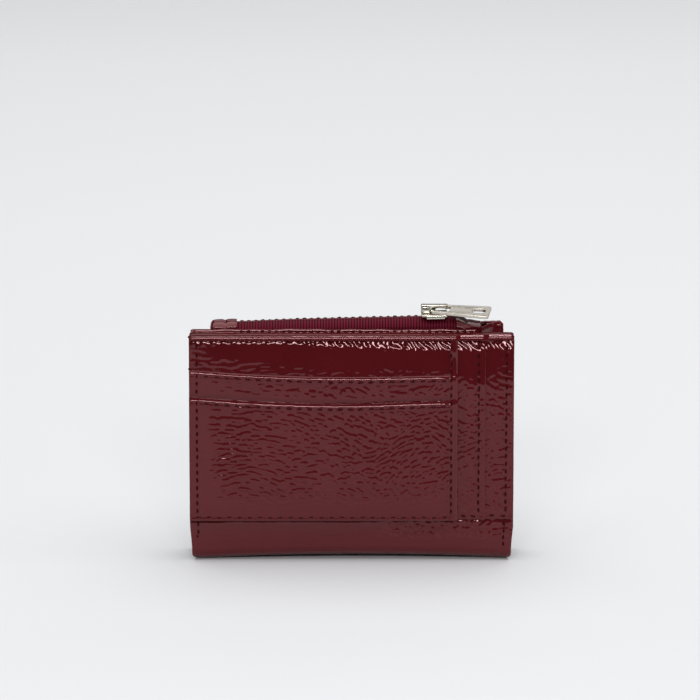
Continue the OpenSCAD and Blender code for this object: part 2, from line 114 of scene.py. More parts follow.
def crushed_patent_leather():
    """Wine patent leather; its creases are as deep as each piece's own "crease" attribute says."""
    made, tree, place = new_material("crushed_patent_leather_wine")
    # The film is never quite flat: soft ripples 6 mm long, and finer wrinkles where the leather is creased
    ripple = noise(tree, place, 150, 1)
    long_way = add(tree, "Mapping", {"Vector": place, "Scale": (0.5, 1, 1)}).outputs[0]
    wrinkle = noise(tree, long_way, 850, 1)
    depth = add(tree, "Attribute", attribute_name="crease").outputs["Fac"]
    wrinkle = add(tree, "Math", {0: wrinkle, 1: depth}, operation="MULTIPLY").outputs[0]
    height = add(tree, "Math", {0: ripple, 1: 0.8, 2: wrinkle}, operation="MULTIPLY_ADD").outputs[0]
    bump = add(tree, "Bump", {"Strength": 1, "Distance": 0.00006, "Height": height}).outputs[0]
    stain = noise(tree, place, 60, 2)
    red = two_tone(tree, stain, "#4a0b0f", "#540f14")
    haze = noise(tree, place, 900, 2)
    haze = add(tree, "MapRange", {"Value": haze, "To Min": 0.03, "To Max": 0.09}).outputs[0]
    finish_material(tree, {
        "Base Color": red, "Roughness": haze, "IOR": 1.56, "Specular Tint": linear("#ffc4c8"), "Normal": bump,
    })
    return made


patent_leather = crushed_patent_leather()

# ---- Sewn leather sheets ----
# Every leather part starts as a flat cut sheet, which is bent or swelled to its place and given its
# thickness. The cut edges are rubbed round and painted the colour of the skin.


def smooth(t):
    """0 below 0, 1 above 1, and a soft step between."""
    t = np.clip(t, 0, 1)
    return t * t * (3 - 2 * t)


def bell(distance, width):
    """1 in the middle, and next to nothing from two widths away."""
    return np.exp(-((distance / width) ** 2))


def only(obj):
    """Selects this object alone and makes it active."""
    for other in bpy.context.selected_objects:
        other.select_set(False)
    obj.select_set(True)
    bpy.context.view_layer.objects.active = obj


def apply_modifier(obj, kind, **settings):
    only(obj)
    made = obj.modifiers.new(kind.lower(), kind)
    for key, value in settings.items():
        setattr(made, key, value)
    bpy.ops.object.modifier_apply(modifier=made.name)


def round_edges(obj, width, segments, sharper):
    """Rounds each edge that turns by more than this many degrees."""
    apply_modifier(obj, "BEVEL", width=width * MM, segments=segments, limit_method="ANGLE",
                   angle_limit=math.radians(sharper))


def corners_of(obj):
    """The mesh's points in millimetres."""
    co = np.empty(len(obj.data.vertices) * 3)
    obj.data.vertices.foreach_get("co", co)
    return co.reshape(-1, 3) / MM


def set_corners(obj, co):
    obj.data.vertices.foreach_set("co", (np.asarray(co) * MM).ravel())
    obj.data.update()


def sheet(name, columns, rows, place, thick, rim=0.2):
    """A sheet whose face goes where place(column, row) puts it, and whose back is this thick behind it."""
    bpy.ops.mesh.primitive_grid_add(x_subdivisions=len(columns) - 1, y_subdivisions=len(rows) - 1, size=2)
    obj = bpy.context.object
    obj.name = name
    obj.data.name = name
    co = corners_of(obj) * MM
    across = np.rint((co[:, 0] + 1) / 2 * (len(columns) - 1)).astype(int)
    up = np.rint((co[:, 1] + 1) / 2 * (len(rows) - 1)).astype(int)
    set_corners(obj, np.stack(place(np.asarray(columns)[across], np.asarray(rows)[up]), 1))
    apply_modifier(obj, "SOLIDIFY", thickness=thick * MM, offset=-1)
    if rim:
        round_edges(obj, rim, 2, 60)
    only(obj)
    bpy.ops.object.shade_smooth_by_angle(angle=math.radians(50))
    return obj


def steps(start, end, gap):
    """Evenly spaced values from start to end, about gap apart."""
    return np.linspace(start, end, max(2, int(round(abs(end - start) / gap)) + 1))


def finish_leather(obj, body, nodes, crease):
    """Gives a piece its skin, its creases' depth at each place and, if any, its body, and hides the CAD nodes
    that it stands in for.
    """
    co = corners_of(obj)
    depth = obj.data.attributes.new("crease", "FLOAT", "POINT")
    depth.data.foreach_set("value", np.broadcast_to(crease(co[:, 0], co[:, 2]), len(co)).astype(np.float32))
    obj.data.materials.append(patent_leather)
    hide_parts(*nodes)
    if body:
        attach(obj, body)


def scattered(i, j, k):
    """A steady random value from 0 to 1 for each cell of a grid."""
    value = np.sin(i * 127.1 + j * 311.7 + k * 74.7) * 43758.5453
    return value - np.floor(value)


def drifting(x, z, size, k):
    """A smooth random field from -1 to 1, whose features are about size across."""
    i, j = np.floor(x / size), np.floor(z / size)
    u, v = smooth(x / size - i), smooth(z / size - j)
    low = scattered(i, j, k) * (1 - u) + scattered(i + 1, j, k) * u
    high = scattered(i, j + 1, k) * (1 - u) + scattered(i + 1, j + 1, k) * u
    return (low * (1 - v) + high * v) * 2 - 1


def lumps(x, z, long, short, turn, k):
    """How deep each point lies below the lump it is on: 0 on top, about 0.3 in the crease between two."""
    c, s = math.cos(turn), math.sin(turn)
    u, v = (x * c + z * s) / long, (z * c - x * s) / short
    i, j = np.floor(u), np.floor(v)
    near = np.zeros_like(u)
    for a in (-1, 0, 1):
        for b in (-1, 0, 1):
            du = i + a + scattered(i + a, j + b, k) - u
            dv = j + b + scattered(i + a, j + b, k + 1) - v
            near += np.exp(-22 * (du**2 + dv**2))
    return np.clip(-np.log(near + 1e-9) / 22, -0.02, 0.45)


def crushed(x, z):
    """The crushed film's relief: long level lumps to the left, and a finer slanting net to the right."""
    along = x + 2.6 * drifting(x, z, 17, 5) + 0.7 * drifting(x, z, 4.5, 9)
    up = z + 3.2 * drifting(x, z, 21, 6) + 0.55 * drifting(x, z, 5.5, 11)
    level = lumps(along, up, 4.8, 1.4, 0.0, 1)
    slanting = lumps(along, up, 2.5, 1.25, 0.6, 3)
    other = lumps(along, up, 2.9, 1.45, -0.5, 7)
    right = smooth((x + 16 * drifting(x, z, 15, 13)) / 10)
    middle = smooth(0.2 + 2.5 * drifting(x, z, 12, 15)) * smooth((x + 35) / 15)
    deep = (level * (1 - right) + slanting * right) * (1 - middle) + other * middle
    fade = np.clip(0.9 + 0.45 * drifting(x, z, 9, 17), 0.4, 1)
    return -0.24 * smooth((deep - 0.03) / 0.3) * fade


# ---- Back leaf: the cover ----
# One sheet of patent leather is the back cover, the spine and the front cover. It is drawn as two halves
# that meet under the spine, because each bends at its own fold. The soft spine's middle stands a little high.
HALF = 62.5
BACK_TOP = 91.0
FOLD_R = 4.8
BACK_Y, FRONT_Y = -8.0, 9.5
MIDDLE_Y = (BACK_Y + FRONT_Y) / 2
PANEL_LOW = 16.7


def swell(x, z):
    """How far the back leaf's layers bulge outwards, held flat by the seams all round."""
    up = smooth((z - 9) / 26) * (1 - smooth((z - 71.5) / 17.5))
    across = 1 - smooth((np.abs(x) - 42) / 19)
    return 1.5 * up * (0.25 + 0.75 * across)


def arch(x):
    """How far the spine's middle stands off the table."""
    lean = (x - 3) / 58
    return 1.5 * np.clip(1 - lean * lean, 0, 1)


def half_width(z):
    """The wallet's half width at each height: it narrows over the spine, and its lower corners are round."""
    drawn_in = 0.75 * (1 - smooth((z - 4) / 12))
    low = np.clip((3.2 - z) / 3.2, 0, 1)
    return HALF - drawn_in - 1.6 * (1 - np.sqrt(1 - low * low * 0.98))


def front_swell(x, z):
    """How far the front leaf's layers bulge outwards."""
    return 0.5 * smooth((z - 8) / 25) * (1 - smooth((z - 62) / 22)) * np.cos(x / 45)


def front_lift(x):
    """The front leaf stands askew: its left end is higher than its right."""
    return 0.65 - 0.0153 * x


def cover_half(name, side, top, inset, thick, gap, columns, crease=None):
    """Half of a sheet that runs from the middle of the spine, round one fold and up one leaf to its top."""
    face = (BACK_Y if side < 0 else FRONT_Y) - side * inset
    r = FOLD_R - inset
    floor_run = abs(MIDDLE_Y - (face - side * r))
    turn = r * math.pi / 2
    rows = np.concatenate([
        steps(0, floor_run, 1.2)[:-1], floor_run + steps(0, turn, 0.5)[:-1],
        floor_run + turn + steps(0, 13, 0.5)[:-1], floor_run + turn + steps(13, top - FOLD_R - 3, gap)[:-1],
        floor_run + turn + steps(top - FOLD_R - 3, top - FOLD_R, 0.7),
    ])

    def place(x, s):
        angle = np.clip((s - floor_run) / r, 0, math.pi / 2)
        y = MIDDLE_Y + side * (np.minimum(s, floor_run) + r * np.sin(angle))
        z = inset + r * (1 - np.cos(angle)) + np.maximum(s - floor_run - turn, 0)
        narrow = half_width(z) / HALF
        corner = np.clip((z - (top - 2)) / 2, 0, 1)
        ends = np.clip((np.abs(x) - HALF + 3) / 3, 0, 1)
        x = x * narrow - np.sign(x) * ends * (1 - np.sqrt(1 - corner * corner * 0.95)) * 1.2
        lift = arch(x) * (1 - smooth((z - 1) / 16))
        out = swell(x, z) if side < 0 else front_swell(x, z)
        puff = 0.35 * bell(z - 11, 5.0)
        if side < 0:
            puff = puff - 0.3 * bell(z - PANEL_LOW - 0.1, 1)
        if crease:
            puff = puff + 1.7 * crushed(x, z) * crease(x, z) * smooth((z - 4) / 4)
        if side > 0:
            z = z + front_lift(x) * smooth((z - 50) / 30)
        return x, y + side * (out + puff), z + lift

    return sheet(name, columns if side < 0 else columns[::-1], rows, place, thick)


def spine_crease(x, z):
    """Creased to the right above the fold, and nearly smooth elsewhere on the spine."""
    return 0.10 + 0.75 * smooth((x - 2) / 26) * smooth((z - 7.5) / 4) * (1 - 0.4 * smooth((x - 50) / 8))


across = steps(-HALF, HALF, 0.5)
back_cover = cover_half("back_cover", -1, BACK_TOP - 0.7, 0.0, 1.0, 3.0, across, spine_crease)
finish_leather(back_cover, None, ["back_cover", "spine_cover"], spine_crease)
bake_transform(back_cover)

# ---- Outside card slots ----
# Five skived leathers are stacked on the back cover: a backing, a side-entry slot, a panel, and two upright
# slots whose mouths dip in the middle from use. All are sewn down the left side and along the bottom.
SLOT_T = 0.6
EDGE_1, EDGE_2 = 40.9, 51.6
HEM = 3.0
LEFT_SEAM, SIDE_SEAM = -59.5, 48.9
BOTTOM_SEAM = 18.3
TOP_SEAM = 88.4
# Where each leather's face would lie if it were flat
BACKING_Y, SIDE_Y, PANEL_Y, UPPER_Y, LOWER_Y = -8.6, -9.2, -9.8, -10.45, -11.05
# The two ends and the pitch of the long rows of stitches
TOP_ROW = (-58.6, 37.6, 3.85)
MOUTH_ROW = (-57.8, 37.4, 3.85)
BOTTOM_ROW = (-61.0, 37.8, 3.95)


def dip(distance, width=0.6, depth=0.14):
    """The groove that a row of stitches pulls into the leather."""
    return -depth * bell(distance, width)


def at(edge, x):
    """An edge's height at one place."""
    return float(edge(np.array([float(x)]))[0])


def slot_sheet(name, x0, x1, top, face, relief, crease, x_shown, gap=0.45):
    """A card-slot leather from x0 to x1 with its upper edge at top(x), drawn finely right of x_shown."""
    columns = steps(x_shown, x1, gap)
    if x_shown > x0:
        columns = np.concatenate([steps(x0, x_shown, 4)[:-1], columns])
    rows = steps(0, 1, gap / (at(top, 0) - PANEL_LOW))

    def place(x, v):
        high = top(x)
        z = PANEL_LOW + v * (high - PANEL_LOW)
        free = smooth((x1 - x) / 1.6) * smooth((high - z) / 2.2)
        out = swell(x, z) + relief(x, z, high - z) + crushed(x, z - 3 * face) * crease(x, z) * free
        narrow = half_width(z) / HALF
        return np.where(np.abs(x) > 60, x * narrow, x), face - out, z

    finish_leather(sheet(name, columns, rows, place, SLOT_T, rim=0.16), "back_leaf", [name], crease)


def edge_round(distance, size=0.35, depth=0.25):
    """How far a turned edge rolls back near its end."""
    return -depth * bell(distance, size)


def full_height(x):
    return np.full(np.shape(x), BACK_TOP - 0.9)


def pitched(x, start, end, pitch):
    """A wave along a seam: 1 at each needle hole and -1 at the middle of each stitch."""
    stitch = (end - start) / round((end - start) / pitch)
    return np.cos((x - start) / stitch * 2 * math.pi)


def top_puff(x, z):
    """The leather drawn in by the top seam, with slanting puckers below it."""
    below = TOP_SEAM - z
    bend = 1.2 * drifting(x, z, 5, 21) + 0.5 * drifting(x, 0 * z, 1.9, 27)
    width = 1.3 + 1.9 * smooth((x + 32) / 38) + 1.0 * smooth((x - 8) / 26)
    pucker = 0.2 * np.sin((x - 0.9 * below + bend) * 2 * math.pi / 3.3)
    pucker = pucker * bell(below - 0.5 * width, 0.5 * width)
    uneven = 1 + 0.2 * drifting(x, 0 * z, 4, 41)
    above = np.exp(np.minimum(below, 0) / 0.8)
    drawn = 0.26 * uneven * width * np.where(below > 0, 1 - smooth(below / width), above)
    between = 0.16 * pitched(x, *TOP_ROW) * bell(below - 0.4, 0.8)
    return pucker * smooth((x + 40) / 30) * (0.85 + 0.5 * drifting(x, z, 4, 23)) - drawn - between


def bottom_seam(x, z):
    """The seam along the slots' lower edge, drawn in at each needle hole, and the turned edge below it."""
    holes = 0.16 + 0.10 * pitched(x, *BOTTOM_ROW)
    turned_edge = edge_round(z - PANEL_LOW, 0.5, 0.5)
    return dip(z - BOTTOM_SEAM, 0.6, holes) + 0.15 * smooth((19.5 - z) / 2) + turned_edge


def seams_round(x, z, right):
    """The grooves along the left, bottom and top seams and along a stitched right hem."""
    return (dip(x - LEFT_SEAM) + bottom_seam(x, z) + dip(z - TOP_SEAM) + dip(x - right)
            + edge_round(x + HALF))


def leaning(x, z):
    """Right of the strip the leathers are held only at the top, so they lean back towards it."""
    return 0.05 * np.clip(88 - z, 0, 18) * smooth((z - 30) / 30) * smooth((x - 41.5) / 3)


def backing_relief(x, z, below_top):
    hem = 0.3 * smooth((x - 58.6) / 0.8)
    return leaning(x, z) + hem + seams_round(x, z, 59.5) + edge_round(HALF - x) + top_puff(x, z) * 0.8


def side_relief(x, z, below_top):
    hem = 0.3 * smooth((x - EDGE_2 + HEM + 0.3) / 0.6)
    return leaning(x, z) + hem + seams_round(x, z, SIDE_SEAM) + edge_round(EDGE_2 - x) + top_puff(x, z)


def panel_relief(x, z, below_top):
    return seams_round(x, z, 80) + top_puff(x, z) + 0.15 * np.sin(x / 9) * smooth((z - 76) / 6)


def strip_crease(x, z):
    return 0.25 + 0.75 * smooth((80 - z) / 22) - 0.5 * smooth((24 - z) / 6)


def panel_crease(x, z):
    left_low = smooth((2 - x) / 40) * smooth((84 - z) / 6)
    near_slot = 0.45 * smooth((79 - z) / 3.5)
    streaks = 0.3 * bell(z - 85.6, 2.4) * smooth((x + 35) / 30)
    return np.clip(0.05 + 0.75 * left_low + near_slot + streaks, 0, 1)


slot_sheet("slot_backing", -HALF, HALF, full_height, BACKING_Y, backing_relief, strip_crease, 50.5)
slot_sheet("side_slot_panel", -HALF, EDGE_2, full_height, SIDE_Y, side_relief, strip_crease, 39.5)
slot_sheet("slot_panel", -HALF, EDGE_1 - 0.6, full_height, PANEL_Y, panel_relief, panel_crease, -HALF)


def upper_edge(x):
    """The upper slot's mouth: high at the left, lowest at the middle."""
    return 74.6 + 2.3 * np.clip((-8 - x) / 52, 0, 1) ** 1.4 + 0.5 * smooth((x - 5) / 30)


def lower_edge(x):
    """The lower slot's mouth dips more."""
    return 63.9 + 2.3 * np.clip((-8 - x) / 52, 0, 1) ** 1.5 + 1.1 * smooth((x + 2) / 40)


def mouth_relief(x, z, below_top):
    """The turned hem along a slot's mouth, its stitch groove and its rolled edge."""
    hem = 0.32 * smooth((3.2 - below_top) / 0.9)
    groove = dip(below_top - 2.0, 0.5, 0.24 + 0.1 * pitched(x, *MOUTH_ROW))
    return (hem + groove + edge_round(below_top, 0.75, 0.7) + dip(x - LEFT_SEAM) + bottom_seam(x, z)
            + edge_round(x + HALF) - 0.35 * smooth((x - 35.5) / 2))


def upper_crease(x, z):
    return 0.15 + 0.75 * smooth((x + 60) / 60) * (0.45 + 0.55 * bell(z - 70.5, 2.2))


def lower_crease(x, z):
    grown = smooth((z - 21.5) / 7) * (1 - 0.45 * smooth((z - 58) / 5))
    side = 1 - 0.85 * smooth((-50 - x) / 7)
    return np.clip(0.04 + 0.96 * grown * side, 0, 1)


def upper_relief(x, z, below_top):
    """The upper slot's leather also sinks behind the lower slot's mouth."""
    return mouth_relief(x, z, below_top) - 0.38 * bell(z - lower_edge(x) - 0.2, 0.9)


SLOT_END = 38.4
slot_sheet("upper_card_slot", -HALF, SLOT_END, upper_edge, UPPER_Y, upper_relief, upper_crease, -HALF)
slot_sheet("lower_card_slot", -HALF, SLOT_END, lower_edge, LOWER_Y, mouth_relief, lower_crease, -HALF,
           gap=0.34)

# ---- Strip over the slots' right-hand ends ----
# A narrow folded leather, which is the first side slot's own hem, lies over the raw ends of the two upright
# slots. It is sewn down along its left edge and stands proud on its right, where cards go in.


def strip_place(x, z):
    from_left = x - (EDGE_1 - HEM)
    out = swell(x, z) + dip(from_left - 0.35, 0.4, 0.25) + edge_round(from_left, 0.3, 0.3)
    out = out + edge_round(EDGE_1 - x, 0.55, 0.7) + dip(z - BOTTOM_SEAM) + edge_round(z - PANEL_LOW)
    out = out + 0.35 * bell(TOP_SEAM - z - 3.4, 2.4)
    step = 0.45 * smooth((lower_edge(x) + 0.5 - z) / 1.2) + 0.35 * smooth((upper_edge(x) + 0.5 - z) / 1.2)
    return x, -10.5 - out - step, z


rows = steps(PANEL_LOW, BACK_TOP - 1.2, 0.6)
slot_binding = sheet("slot_binding", steps(EDGE_1 - HEM, EDGE_1, 0.25), rows, strip_place, 0.7)
finish_leather(slot_binding, "back_leaf", ["slot_binding"], strip_crease)

# ---- Top binding of the back leaf ----
# A strip is folded over the top edges of all the back leaf's layers and sewn through. It steps back to the
# right of each side slot, where there are fewer layers under it.


def layers_face(x):
    """The outer face of the topmost layer along the top edge."""
    return -10.0 + 0.6 * smooth((x - EDGE_1 + 0.4) / 0.8) + 0.6 * smooth((x - EDGE_2 + 0.4) / 0.8)


def top_binding(name, body, side, face, back, top, leg):
    """A strip folded over a leaf's top edge: up its outer leg, over the top, and down its inner leg."""
    half = 62.2
    over, inner_leg = leg + steps(0, 2, 0.12), leg + 2 + steps(0, leg, 0.6)
    rows = np.concatenate([steps(0, leg, 0.19)[:-1], over[:-1], inner_leg])

    def place(x, s):
        front = face(x)
        width = np.abs(back - front)
        angle = np.clip((s - leg) / 2, 0, 1) * math.pi
        drop = np.where(s < leg, leg - s, np.where(s > leg + 2, s - leg - 2, 0))
        lean = (0.3 * np.clip(1 - drop / 0.7, 0, 1) + 0.16 * np.clip(1 - drop / leg, 0, 1)) * (s < leg + 0.5)
        y = (front + back) / 2 + np.sign(front - back) * (np.cos(angle) * width / 2 - lean)
        crown = np.sin(angle) ** 0.22 * 0.8
        ripple = 0.05 * drifting(x, 0 * x, 1.6, 31) + 0.06 * drifting(x, 0 * x, 7, 33)
        z = top - 0.8 - drop + crown + ripple * (drop < 0.1) + (front_lift(x) if side > 0 else 0)
        end = np.clip((np.abs(x) - half + 1.2) / 1.2, 0, 1)
        z = z - 0.5 * (1 - np.sqrt(1 - end * end * 0.96)) * (drop < 0.6)
        return x, y, z

    columns = steps(-half, half, 0.7)
    obj = sheet(name, columns if side < 0 else columns[::-1], rows, place, 0.6, rim=0.16)
    finish_leather(obj, body, [name], lambda x, z: 0.2)


top_binding("back_top_binding", "back_leaf", -1, lambda x: layers_face(x) - 0.65, -5.6, BACK_TOP, 1.5)

# ---- Front leaf: the cover and its binding ----
# The front cover is the other half of the same leather. It is a little lower than the back leaf, and its
# top edge is bound with a narrow folded strip.
FRONT_TOP = 86.5


def front_crease(x, z):
    return np.clip(0.15 + 0.8 * smooth((z - 9) / 9) * (0.65 + 0.35 * np.sin(x / 17 + z / 23)), 0, 1)


across = steps(-HALF, HALF, 0.6)
front_cover = cover_half("front_cover", 1, FRONT_TOP - 0.7, 0.0, 1.0, 0.6, across, front_crease)
finish_leather(front_cover, None, ["front_cover", "spine_cover"], front_crease)
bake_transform(front_cover)
top_binding("front_top_binding", "front_leaf", 1, lambda x: 10.1 + 0 * x, 7.4, FRONT_TOP, 2.6)

# ---- Linings ----
# A plain-woven polyester lining is glued inside each leaf and runs down into the spine, which is left hollow.
# It is dark wine, with a thread about 0.4 mm wide, drawn a little coarse so that the weave still reads.


def woven_cloth(name, colour, light, thread_mm):
    """Plain weave: threads cross over and under, and each stands up where it is on top."""
    made, tree, place = new_material(name)
    waves = []
    for axis in ("X", "Z"):
        threads = {"Vector": place, "Scale": math.pi / 10 / (thread_mm * MM), "Distortion": 0.4,
                   "Detail": 1, "Detail Scale": 4}
        wave = add(tree, "TexWave", threads, wave_type="BANDS", bands_direction=axis)
        waves.append(wave.outputs["Fac"])
    weave = add(tree, "Math", {0: waves[0], 1: waves[1]}, operation="MULTIPLY").outputs[0]
    slub = noise(tree, place, 700, 3)
    # Painted light and shade: each thread is painted lighter where it lies on top and darker where it dips
    # under; the slub adds the yarn's own unevenness
    tone = add(tree, "Math", {0: weave, 1: slub}, operation="MULTIPLY").outputs[0]
    tone = add(tree, "MapRange", {"Value": tone, "From Min": 0.0, "From Max": 0.5}).outputs[0]
    shade = two_tone(tree, tone, colour, light)
    bump = add(tree, "Bump", {"Strength": 0.7, "Distance": 0.00012, "Height": weave}).outputs[0]
    finish_material(tree, {
        "Base Color": shade, "Roughness": 0.8, "Sheen Weight": 0.25, "Sheen Roughness": 0.4, "Normal": bump,
    })
    return made


lining_cloth = woven_cloth("woven_polyester_lining_wine", "#3a0d17", "#5d1a27", 0.4)
for side, name, top, body in ((-1, "back_lining", BACK_TOP - 1.2, "back_leaf"),
                              (1, "front_lining", FRONT_TOP - 1.2, "front_leaf")):
    lining = cover_half(name, side, top, 1.35, 0.3, 2.0, steps(-HALF + 1, HALF - 1, 2.0))
    lining.data.materials.append(lining_cloth)
    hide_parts(name, "spine_lining")
    start, end = ((-2.6, 0), (-8.0, 6.2)) if side < 0 else ((4.1, 0), (9.5, 6.2))
    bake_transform(lining)

# ---- Backing boards ----
# A thin grey fibre board inside each leaf keeps it flat. It is shut in between the cover and the lining.


def fibre_board():
    made, tree, place = new_material("grey_fibre_board")
    fleck = noise(tree, place, 1500, 4)
    shade = two_tone(tree, fleck, "#7d776c", "#a39c8e")
    bump = add(tree, "Bump", {"Strength": 0.4, "Distance": 0.00005, "Height": fleck}).outputs[0]
    finish_material(tree, {"Base Color": shade, "Roughness": 0.9, "Normal": bump})
    return made


board_grey = fibre_board()
BOARD_HALF, BOARD_LOW = HALF - 5, 12
for name, body, top, face, side in (
    ("back_board", "back_leaf", 84, -6.98, -1),
    ("front_board", "front_leaf", 80, 8.48, 1),
):

    def board_place(x, z, face=face, side=side):
        return x, face + side * (swell(x, z) if side < 0 else front_swell(x, z)), z

    across = steps(-BOARD_HALF, BOARD_HALF, 4)
    rows = steps(BOARD_LOW, top, 4)
    board = sheet(name, across if side < 0 else across[::-1], rows, board_place, 0.3, rim=0)
    board.data.materials.append(board_grey)
    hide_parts(name)
    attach(board, body)

# ---- Card slots inside the front leaf ----
# Three stacked leathers with turned mouths face the coin pocket. Each is lower than the one behind it, and
# a scoop in the middle of its mouth lets a thumb push the card out.
INNER_LOW = 10.8


def inner_top(number):
    def top(x):
        scoop = 2.2 * bell(x, 9.0)
        return 66 - 11 * number - 0.5 * np.cos(x / 40) - scoop
    return top


for number, name in enumerate(("inner_slot_top", "inner_slot_middle", "inner_slot_bottom")):
    mouth = inner_top(number)
    face = 7.3 - 0.5 * number

    def inner_place(x, v, mouth=mouth, face=face):
        z = INNER_LOW + v * (mouth(x) - INNER_LOW)
        below = mouth(x) - z
        out = 0.12 * smooth((2.6 - below) / 0.6) + dip(below - 1.8, 0.5, 0.12) + edge_round(below, 0.3, 0.2)
        return x, face - out, z

    inner = sheet(name, steps(-59.5, 59.5, 0.9), steps(0, 1, 0.02), inner_place, 0.42, rim=0.1)
    finish_leather(inner, "front_leaf", [name], lambda x, z: 0.35)

# ---- Coin pocket ----
# Two leather walls stand behind the back leaf, with a note slot between the near wall and the leaf. The near
# wall's top rises and folds back at its right end to meet the far wall; a pleated gusset closes each end.
ZIP_SLOPE = math.radians(1.45)
ZIP_Z = 94.5
WALL_LEFT, WALL_RIGHT = -55.5, 58.5
WALL_LOW = 14.0
NEAR_IN, FAR_IN = -4.7, 3.9
FAR_PITCH = 2.68


def zip_height(x):
    """The zip tape's height along its slope, with the slight sag of a soft tape."""
    return ZIP_Z + x * math.tan(ZIP_SLOPE) - 0.5 * smooth((-20 - x) / 35) - 2.7 * smooth((x - 38) / 11)


def near_top(x):
    rise = 1.1 * smooth((x - 46.5) / 9)
    ends = 1.2 * smooth((x - 57.2) / 1.3) + 1.0 * smooth((-59.5 - x) / 2.5)
    return 91.9 + rise + 0.12 * np.sin(x / 4.3) + 0.10 * np.sin(x / 1.9 + 2) - ends


def far_top(x):
    return zip_height(x) - 0.35 - 1.2 * smooth((x - 57.2) / 1.3) - 3.2 * smooth((-53.2 - x) / 1.6)


def near_place(x, v):
    top = near_top(x)
    z = WALL_LOW + v * (top - WALL_LOW)
    below = top - z
    out = edge_round(below, 0.4, 0.35) + 0.15 * bell(below - 1.6, 1.0) + dip(below - 0.9, 0.3, 0.1)
    lean = 0.25 * np.sin(x / 13) * smooth((z - 60) / 30)
    # To the right of the zip its top is folded back on to the far wall
    lean = lean - (6.9 * smooth((z - 79) / 9) + 0.25 * np.clip(z - 88, 0, 6)) * smooth((x - 47.5) / 8.5)
    return x, -5.55 - out - lean, z


rows = np.concatenate([steps(0, 0.9, 0.05)[:-1], steps(0.9, 1, 0.004)])
near_wall = sheet("pocket_near_wall", steps(-62.0, WALL_RIGHT, 0.6), rows, near_place, 0.75, rim=0.22)
finish_leather(near_wall, "back_leaf", ["pocket_near_wall"], lambda x, z: 0.25 + 0.3 * smooth((x - 30) / 10))


def far_place(x, v):
    top = far_top(x)
    z = WALL_LOW + v * (top - WALL_LOW)
    below = top - z
    out = edge_round(below, 0.5, 0.5) + dip(below - 1.3, 0.4, 0.15)
    # The leather gathers a little between the stitches along its top edge
    gather = 0.05 * np.sin(x * 2 * math.pi / FAR_PITCH) * bell(below, 0.9)
    return x, FAR_IN + 0.8 + out + 0.3 * smooth((z - 20) / 30) * np.cos(x / 40) * (below > 3), z + gather


def far_crease(x, z):
    return np.clip(0.2 + 0.7 * smooth((z - 20) / 15) * (1 - smooth((z - 86) / 5)), 0, 1)


rows = np.concatenate([steps(0, 0.9, 0.025)[:-1], steps(0.9, 1, 0.004)])
far_wall = sheet("pocket_far_wall", steps(WALL_LEFT, WALL_RIGHT, 0.5)[::-1], rows, far_place, 0.75)
finish_leather(far_wall, "back_leaf", ["pocket_far_wall"], far_crease)

for name, end, inward, under_top in (
    ("pocket_left_gusset", WALL_LEFT + 0.4, 1, 1.2),
    ("pocket_right_gusset", WALL_RIGHT - 0.4, -1, 7.5),
):
    top = min(at(near_top, end), at(far_top, end)) - under_top

    def gusset_place(v, z, end=end, inward=inward):
        y = NEAR_IN + v * (FAR_IN - NEAR_IN)
        pleat = 3.2 * (1 - np.abs(2 * v - 1)) ** 0.9 * (1 - 0.55 * smooth((z - 60) / 30))
        return end + inward * pleat, y, z

    across = steps(0, 1, 0.06)
    rows = steps(WALL_LOW + 0.8, top, 1.6)
    gusset = sheet(name, across if inward < 0 else across[::-1], rows, gusset_place, 0.4, rim=0)
    gusset.data.materials.append(lining_cloth)
    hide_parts(name)
    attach(gusset, "back_leaf")


def base_place(x, v):
    y = NEAR_IN + v * (FAR_IN - NEAR_IN)
    return x, y, WALL_LOW + 0.8 - 0.5 * np.sin(v * math.pi)


pocket_base = sheet("pocket_base", steps(WALL_LEFT, WALL_RIGHT, 3), steps(0, 1, 0.08), base_place, 0.4, rim=0)
pocket_base.data.materials.append(lining_cloth)
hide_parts("pocket_base")
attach(pocket_base, "back_leaf")

# ---- Zip tape ----
# Two halves of wine polyester tape are sewn inside the walls' top edges and arch over to meet along the
# middle. The coils are sewn to the underside, and their turns show through as ribs 1.1 mm apart.
RIB = 1.085


def ribbed_tape():
    """Knitted polyester tape: slightly shiny ribs, with a fine knit over them."""
    made, tree, place = new_material("knitted_polyester_zip_tape_wine")
    rib = add(tree, "TexWave", {"Vector": place, "Scale": math.pi / 10 / (RIB * MM), "Distortion": 0},
              wave_type="BANDS", bands_direction="X").outputs["Fac"]
    knit = noise(tree, place, 2600, 2)
    # Painted shade and light: the tape is painted dark in the hollows between the ribs and lighter on their
    # tops
    deep = add(tree, "MapRange", {"Value": rib, "From Min": 0.1, "From Max": 0.8}).outputs[0]
    shade = two_tone(tree, deep, "#240409", "#661427")
    height = add(tree, "Math", {0: knit, 1: 0.25, 2: rib}, operation="MULTIPLY_ADD").outputs[0]
    bump = add(tree, "Bump", {"Strength": 0.6, "Distance": 0.0001, "Height": height}).outputs[0]
    finish_material(tree, {
        "Base Color": shade, "Roughness": 0.55, "Specular IOR Level": 0.07,
        "Specular Tint": linear("#ffb0b8"), "Normal": bump,
    })
    return made


